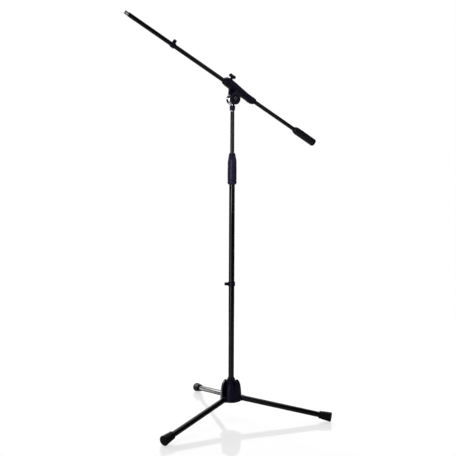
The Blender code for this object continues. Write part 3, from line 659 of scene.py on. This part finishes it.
# ---------------------------------------------------------------- boom head
CLAMP_SECTIONS = (                # along the boom, then its top and bottom from the boom's axis, half width
    (-65.0, 10.8, -10.6, 10.8), (-63.5, 14.6, -11.8, 12.6), (-59.0, 18.0, -12.6, 14.5),
    (-52.0, 20.0, -13.5, 16.0), (-40.0, 20.8, -14.2, 17.2), (-20.0, 19.0, -14.8, 17.6),
    (10.0, 15.0, -15.0, 17.0), (35.0, 12.4, -15.2, 15.2), (56.0, 11.2, -16.0, 13.4),
    (64.0, 11.4, -17.2, 12.8), (78.0, 11.4, -16.5, 12.4), (86.0, 11.2, -12.6, 11.8),
    (89.0, 10.5, -10.5, 10.6),
)
SCREW_X = -39.5 * MM


def section_at(x):
    """The clamp's top, bottom and half width at x, eased between the sections beside it."""
    for (x0, *low), (x1, *high) in zip(CLAMP_SECTIONS, CLAMP_SECTIONS[1:]):
        if x <= x1:
            t = (x - x0) / (x1 - x0)
            return [a + (b - a) * t for a, b in zip(low, high)]
    return list(CLAMP_SECTIONS[-1][1:])


def clamp_body():
    """A loft of superellipse sections along the boom."""
    bm = bmesh.new()
    rings, sides, power = [], 72, 0.80
    first, last = CLAMP_SECTIONS[0][0], CLAMP_SECTIONS[-1][0]
    count = 90
    for k in range(count + 1):
        x = first + (last - first) * k / count
        near = [section_at(min(last, max(first, x + shift))) for shift in (-3, -1.5, 0, 1.5, 3)]
        top, bottom, half_width = [sum(values) / 5 for values in zip(*near)]
        middle, half = (top + bottom) / 2, (top - bottom) / 2
        ring = []
        for i in range(sides):
            c, s = math.cos(2 * math.pi * i / sides), math.sin(2 * math.pi * i / sides)
            y = half_width * math.copysign(abs(c) ** power, c)
            z = middle + half * math.copysign(abs(s) ** power, s)
            ring.append(bm.verts.new((x * MM, y * MM, ABOVE + z * MM)))
        rings.append(ring)
    for ring, other in zip(rings, rings[1:]):
        for i in range(sides):
            j = (i + 1) % sides
            bm.faces.new((ring[i], ring[j], other[j], other[i]))
    bm.faces.new(rings[0])
    bm.faces.new(rings[-1])
    return to_mesh("clamp_body", bm, HEAD)


def ear(radius, start, left, near, far):
    """A round ear from start degrees on, with its sides running up into the clamp's body."""
    lift = ABOVE - 10 * MM
    outline = [(left, lift)] + arc((0, 0), radius, start, 340, 48) + [(26 * MM, lift)]
    return prism(outline, near, far, HEAD, 0.8 * MM)


def boom_clamp():
    near_gap, far_gap = -10.0 * MM, 4.6 * MM
    screw = HEAD @ Matrix.Translation((SCREW_X, 0, 0))
    boss_top = ABOVE + 22.8 * MM
    boss = rod(6.8 * MM, ABOVE + 10 * MM, boss_top, screw, 1 * MM)
    parts = join(ear(15.8 * MM, 175, -8.0 * MM, -17.2 * MM, near_gap),
                 ear(21 * MM, 157, -30 * MM, far_gap, 11.5 * MM), boss)
    parts += cut(rod(9.25 * MM, -0.1, 0.12, BOOM, steps=ROUND), rod(3.2 * MM, ABOVE, boss_top + 0.01, screw),
                 rod(4.2 * MM, -0.05, 0.05, TILT))
    show("boom_clamp", solid(clamp_body(), parts, 0.6 * MM, 4), 0)


def boom_liner():
    slit = block((-0.5 * MM, -0.02, -0.2), (0.5 * MM, 0, 0.2), BOOM)
    show("boom_liner", solid(tube("boom_liner", BOOM, 8.15 * MM, 0.2 * MM), cut(slit)), 30)


def tilt_bolt():
    low, high, _ = along("tilt_bolt", TILT)
    shank = rod(3.9 * MM, low + 2 * MM, high, TILT, 0.8 * MM)
    head_top = -11.8 * MM
    corners = [(0, head_top, 0), (6.5 * MM, head_top, 0.3 * MM), (6.5 * MM, low, 0.7 * MM), (0, low, 0)]
    show("tilt_bolt", solid(turned(rounded(corners, 3, closed=False), TILT, 6), join(shank)), 30)


def tilt_knob():
    """A round knob whose face has a raised outer ring, a sunk ring and a raised centre."""
    low, high, radius = along("tilt_knob", TILT)

    def ribbed(angle, r, height):
        fade = smooth_step(low + 0.6 * MM, low + 1.6 * MM, height)
        fade *= 1 - smooth_step(high - 3.2 * MM, high - 2.2 * MM, height)
        return r - 0.35 * MM * fade * (0.5 + 0.5 * math.cos(48 * angle)) if r > radius - 0.6 * MM else r

    corners = [(4.2 * MM, high - 0.6 * MM, 0.3 * MM), (5.2 * MM, high, 0.5 * MM), (7.4 * MM, high, 0.7 * MM)]
    corners += [(8.0 * MM, high - 5.5 * MM, 0.4 * MM), (12.4 * MM, high - 5.5 * MM, 0.4 * MM)]
    corners += [(12.9 * MM, high - 0.4 * MM, 0.6 * MM), (20.6 * MM, high - 0.7 * MM, 1.2 * MM)]
    corners += [(radius, high - 2.2 * MM, 0.8 * MM), (radius, low + 0.4 * MM, 0.6 * MM),
                (21 * MM, low, 0.5 * MM)]
    corners += [(4.2 * MM, low, 0.2 * MM)]
    show("tilt_knob", turned(dense(rounded(corners, 5), 0.7 * MM), TILT, 384, ribbed), 50)
    corners = [(4.3 * MM, high + 0.4 * MM, 0.3 * MM), (7.3 * MM, high + 0.4 * MM, 0.3 * MM)]
    corners += [(7.3 * MM, high - 0.2 * MM, 0), (4.3 * MM, high - 0.2 * MM, 0)]
    put("tilt_knob_insert", turned(rounded(corners, 4), TILT), "tilt_knob", "dull_zinc", 50)


def thumb_screw():
    """Two round lobes on a neck and a screw, eased together like a moulding."""
    place = HEAD @ Matrix.Translation((SCREW_X, 0, 0))
    low, _, _ = along("thumb_screw", place)
    lobes = []
    for side, start in ((1, -125), (-1, 55)):
        lobes += arc((side * 7.8 * MM, ABOVE + 34.6 * MM), 6.6 * MM, start, start + 250, 32)
    wing = prism(lobes, -4.2 * MM, 4.2 * MM, place, 1.6 * MM)
    neck = rod(4.4 * MM, ABOVE + 23.2 * MM, ABOVE + 36 * MM, place, 0.8 * MM)
    shank = rod(2.9 * MM, low, ABOVE + 32 * MM, place, 0.4 * MM)
    show("thumb_screw", solid(wing, join(neck, shank), 0.35 * MM, 4), 0)


# ---------------------------------------------------------------- boom
def mic_thread():
    """The bright end: a shoulder as wide as the tube, a relief and a fine screw of 27 threads per inch."""
    low, high, _ = along("mic_thread", BOOM)
    pitch, crest, end = 25.4 * MM / 27, 7.8 * MM, low + 11.3 * MM

    def threaded(angle, r, height):
        if height > end or r < 6 * MM:
            return r
        turns = (height / pitch - angle / (2 * math.pi)) % 1.0
        fade = smooth_step(low, low + 0.9 * MM, height) * (1 - smooth_step(end - 1 * MM, end, height))
        return r - 0.5 * MM * abs(2 * turns - 1) * fade

    corners = [(0, high, 0), (6.7 * MM, high, 0.3 * MM), (6.7 * MM, low + 14.7 * MM, 0)]
    corners += [(8 * MM, low + 14.7 * MM, 0.2 * MM), (8 * MM, low + 13.5 * MM, 0.3 * MM)]
    corners += [(6.9 * MM, low + 13.2 * MM, 0.2 * MM), (6.9 * MM, end + 0.4 * MM, 0.2 * MM)]
    corners += [(crest, end - 0.2 * MM, 0.2 * MM), (crest, low + 1 * MM, 0.3 * MM)]
    corners += [(crest - 0.9 * MM, low, 0.2 * MM), (0, low, 0)]
    points = dense(rounded(corners, 3, closed=False), 0.16 * MM)
    points = [p for k, p in enumerate(points) if p.y < low + 14 * MM or k % 8 == 0 or p.x < 1e-6 or k == 1]
    show("mic_thread", turned(points, BOOM, 96, threaded), 60)


def counterweight():
    low, high, radius = along("counterweight", BOOM)
    seat = along("boom_tube", BOOM)[1] + 0.3 * MM
    corners = [(0, high, 0), (radius - 0.8 * MM, high, 0.3 * MM), (radius, high - 1 * MM, 0.5 * MM)]
    corners += [(radius, low + 18 * MM, 12 * MM), (14.4 * MM, low + 10 * MM, 8 * MM)]
    corners += [(12.6 * MM, low + 3.6 * MM, 4 * MM), (10.4 * MM, low, 1 * MM)]
    corners += [(8.3 * MM, low, 0.3 * MM), (8.3 * MM, seat, 0), (0, seat, 0)]
    body = turned(rounded(corners, closed=False), BOOM, LARGE_ROUND)
    screw = along("counterweight_screw", TILT)
    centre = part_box("counterweight_screw")
    axis = Matrix.Translation((centre[0] + centre[1]) / 2) @ turn("X", 90)
    hole = turned(rounded([(0, 20 * MM, 0), (5.5 * MM, 20 * MM, 0),
                           (2.8 * MM, 3.4 * MM, 0), (2.8 * MM, -9 * MM, 0),
                           (0, -9 * MM, 0)], closed=False), axis, 48)
    show("counterweight", solid(body, cut(hole)), 30)
    half = (screw[1] - screw[0]) / 2
    grub = rod(2.5 * MM, -half, half, axis, 0.4 * MM)
    hexagon = [(0, half + 1 * MM), (1.4 * MM, half + 1 * MM), (1.4 * MM, half - 2 * MM), (0, half - 2 * MM)]
    show("counterweight_screw", solid(grub, cut(turned(hexagon, axis, 6))), 30)
    low, high, radius = along("counterweight_cap", BOOM)
    corners = [(0, high, 0), (5 * MM, high - 0.1 * MM, 4 * MM), (radius - 1.2 * MM, high - 1.2 * MM, 5 * MM)]
    corners += [(radius, low + 4.6 * MM, 2 * MM), (radius, low + 0.9 * MM, 0.6 * MM),
                (radius - 0.9 * MM, low, 0.3 * MM)]
    corners += [(0, low, 0)]
    show("counterweight_cap", turned(rounded(corners, 8, closed=False), BOOM, LARGE_ROUND), 40)


def boom():
    show("boom_tube", tube("boom_tube", BOOM, 7 * MM))
    mic_thread()
    counterweight()


# ---------------------------------------------------------------- cable clips
def cable_clip(node, line, bore, wall, jaw_x):
    """A ring around its tube, and a C-shaped jaw with flared lips, eased like a moulding."""
    low, high, _ = along(node, line)
    half, jaw_half, jaw_r, hole_r = (high - low) / 2, 5.6 * MM, 6.6 * MM, 4.2 * MM
    corners = [(bore, half, 0), (bore + wall, half, 1 * MM), (bore + wall, -half, 1 * MM), (bore, -half, 0)]
    ring = turned(rounded(corners), line)
    jaw_line = line @ Matrix.Translation((jaw_x, 0, 0))
    web = block((bore + wall / 2, -3 * MM, -jaw_half), (jaw_x - (jaw_r + hole_r) / 2, 3 * MM, jaw_half), line)
    jaw = rod(jaw_r, -jaw_half, jaw_half, jaw_line, 1 * MM, ROUND)
    mouth = [(jaw_x + 1.5 * MM, 2.7 * MM), (jaw_x + 5.2 * MM, 2.7 * MM), (jaw_x + 9 * MM, 5.2 * MM)]
    mouth = mouth + [(x, -z) for x, z in reversed(mouth)]
    gap = prism(mouth, -0.02, 0.02, line @ turn("X", 90))
    steps = join(web, jaw) + cut(rod(hole_r, -0.02, 0.02, jaw_line), gap,
                                 rod(bore, -0.03, 0.03, line, steps=ROUND))
    show(node, solid(ring, steps, 0.35 * MM, 3), 0)


def clips():
    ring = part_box("column_clip")
    middle = (ring[0].z + ring[1].z) / 2
    away = Vector(((ring[0].x + ring[1].x) / 2, (ring[0].y + ring[1].y) / 2, 0)) - STAND.translation
    line = STAND @ Matrix.Translation((0, 0, middle)) @ turn("Z", math.degrees(math.atan2(away.y, away.x)))
    cable_clip("column_clip", line, 11.2 * MM, 2.6 * MM, 21.5 * MM)
    low, high, _ = along("boom_clip", BOOM)
    line = BOOM @ Matrix.Translation((0, 0, (low + high) / 2)) @ turn("Z", 180)
    cable_clip("boom_clip", line, 8.2 * MM, 2.4 * MM, 16.3 * MM)


# ---------------------------------------------------------------- studio
CAMERA_AZIMUTH, CAMERA_DISTANCE, CAMERA_HEIGHT = 240.0, 2.462, 0.813
CAMERA_PITCH, CAMERA_YAW, CAMERA_ROLL, CAMERA_LENS = 1.86, 0.339, 0.264, 50.6


def camera():
    """At the photograph's angle, looking slightly down and a little left of the column."""
    data = bpy.data.cameras.new("camera")
    data.lens = CAMERA_LENS
    data.sensor_width = 36.0
    data.clip_start, data.clip_end = 0.05, 100
    made = bpy.data.objects.new("camera", data)
    bpy.context.scene.collection.objects.link(made)
    place = STAND @ turn("Z", CAMERA_AZIMUTH) @ Matrix.Translation((CAMERA_DISTANCE, 0, CAMERA_HEIGHT))
    look = place @ turn("Z", 90 + CAMERA_YAW) @ turn("X", 90 - CAMERA_PITCH) @ turn("Z", CAMERA_ROLL)
    made.matrix_world = look
    bpy.context.scene.camera = made


def soft_box(name, azimuth, distance, height, size, power, aim_height=0.8, spread=180):
    """An area light at an azimuth from the column, facing it."""
    data = bpy.data.lights.new(name, "AREA")
    data.shape = "RECTANGLE"
    data.size, data.size_y = size
    data.energy = power
    data.spread = math.radians(spread)
    made = bpy.data.objects.new(name, data)
    bpy.context.scene.collection.objects.link(made)
    start = (STAND @ turn("Z", azimuth) @ Matrix.Translation((distance, 0, height))).translation
    aim = STAND.translation + Vector((0, 0, aim_height))
    made.matrix_world = Matrix.Translation(start) @ (start - aim).to_track_quat("Z", "Y").to_matrix().to_4x4()


WHITE_HALF = (0.25, 0.60)             # sideways reach of the white behind: full to one, none past the other
DIM = 0.02                            # what the studio's dark side reflects


def ramp(nodes, start, end, low, high):
    """A smooth step from low to high as its value goes from start to end."""
    made = nodes.new("ShaderNodeMapRange")
    made.interpolation_type = "SMOOTHSTEP"
    for name, value in zip(("From Min", "From Max", "To Min", "To Max"), (start, end, low, high)):
        made.inputs[name].default_value = value
    return made


def world():
    """White to the camera. What the finishes reflect is white only in a tall band behind the object."""
    made = bpy.data.worlds.new("studio")
    bpy.context.scene.world = made
    made.use_nodes = True
    nodes, links = made.node_tree.nodes, made.node_tree.links
    nodes.clear()
    place = nodes.new("ShaderNodeTexCoord")
    behind, band, product = [nodes.new("ShaderNodeMath") for _ in range(3)]
    shapes = []
    for azimuth in (CAMERA_AZIMUTH + 180, CAMERA_AZIMUTH + 90):
        way = nodes.new("ShaderNodeVectorMath")
        way.operation = "DOT_PRODUCT"
        way.inputs[1].default_value = turn("Z", azimuth) @ Vector((1, 0, 0))
        links.new(place.outputs["Generated"], way.inputs[0])
        shapes.append(way)
    behind.operation, band.operation, product.operation = "MAXIMUM", "ABSOLUTE", "MULTIPLY"
    behind.inputs[1].default_value = 0.0
    links.new(shapes[0].outputs["Value"], behind.inputs[0])
    links.new(shapes[1].outputs["Value"], band.inputs[0])
    deep, wide = ramp(nodes, 0.0, 0.35, 0.0, 1.0), ramp(nodes, *WHITE_HALF, 1.0, 0.0)
    links.new(behind.outputs["Value"], deep.inputs["Value"])
    links.new(band.outputs["Value"], wide.inputs["Value"])
    links.new(deep.outputs["Result"], product.inputs[0])
    links.new(wide.outputs["Result"], product.inputs[1])
    level = ramp(nodes, 0.0, 1.0, DIM, 1.0)
    links.new(product.outputs["Value"], level.inputs["Value"])
    seen, lit = nodes.new("ShaderNodeBackground"), nodes.new("ShaderNodeBackground")
    ray, mix = nodes.new("ShaderNodeLightPath"), nodes.new("ShaderNodeMixShader")
    output = nodes.new("ShaderNodeOutputWorld")
    links.new(level.outputs["Result"], lit.inputs["Strength"])
    links.new(ray.outputs["Is Camera Ray"], mix.inputs["Fac"])
    links.new(lit.outputs["Background"], mix.inputs[1])
    links.new(seen.outputs["Background"], mix.inputs[2])
    for background in (seen, lit):
        background.inputs["Color"].default_value = (1, 1, 1, 1)
    links.new(mix.outputs["Shader"], output.inputs["Surface"])


FLOOR_CLEAR, FLOOR_GONE = 1.6, 3.2    # where the floor starts to fade, and where it has gone
FLOOR_GLOW = (0.06, 0.68)             # light from within it, in reflections and to the camera


def floor():
    """A glossy white sheet that fades out into the white around it, so that it has no horizon."""
    bm = bmesh.new()
    bmesh.ops.create_circle(bm, cap_ends=True, segments=96, radius=FLOOR_GONE)
    place = STAND @ Matrix.Translation((0, 0, -0.0002))
    made = bpy.data.objects.new("floor", to_mesh("floor", bm, Matrix.Identity(4)))
    made.matrix_world = place
    bpy.context.scene.collection.objects.link(made)
    finish = Finish("white_floor", specular=0.5)
    finish.colour(finish.noise(0.5, 3.0), (0.40, 0.40, 0.40), (0.42, 0.42, 0.42))
    finish.roughness(finish.noise(0.3, 3.0), 0.04, 0.06)
    finish.shader.inputs["Emission Color"].default_value = (1, 1, 1, 1)
    nodes, links = finish.nodes, finish.links
    distance = nodes.new("ShaderNodeVectorMath")
    distance.operation = "LENGTH"
    fade = ramp(nodes, FLOOR_CLEAR, FLOOR_GONE, 0.0, 1.0)
    ray, glow = nodes.new("ShaderNodeLightPath"), ramp(nodes, 0.0, 1.0, FLOOR_GLOW[0], FLOOR_GLOW[1])
    links.new(ray.outputs["Is Camera Ray"], glow.inputs["Value"])
    links.new(glow.outputs["Result"], finish.shader.inputs["Emission Strength"])
    clear, mix = nodes.new("ShaderNodeBsdfTransparent"), nodes.new("ShaderNodeMixShader")
    links.new(finish.place, distance.inputs[0])
    links.new(distance.outputs["Value"], fade.inputs["Value"])
    links.new(fade.outputs["Result"], mix.inputs["Fac"])
    links.new(finish.shader.outputs["BSDF"], mix.inputs[1])
    links.new(clear.outputs["BSDF"], mix.inputs[2])
    links.new(mix.outputs["Shader"], nodes["Material Output"].inputs["Surface"])
    made.data.materials.append(finish.material)


def studio():
    camera()
    world()
    floor()
    soft_box("key_left", 204, 2.8, 0.4, (1.2, 1.6), 16)
    soft_box("key_high", 222, 2.8, 1.75, (1.7, 1.5), 1.9, 1.35, 40)
    soft_box("fill_right", 300, 3.2, 0.9, (0.4, 1.6), 1.0)
    soft_box("fill_high", 300, 3.2, 2.1, (1.4, 1.0), 0.5, 1.3, 60)
    soft_box("top", 60, 0.4, 3.4, (2.0, 2.0), 10)
    soft_box("low_window", 100, 3.0, 1.15, (2.8, 1.9), 7, 0.1, 36)
    bpy.context.scene.view_settings.view_transform = "Standard"


def build():
    studio()
    hub()
    base_plate()
    for number in LEGS:
        leg(number)
    column()
    boom_clamp()
    boom_liner()
    tilt_bolt()
    tilt_knob()
    thumb_screw()
    boom()
    clips()


build()
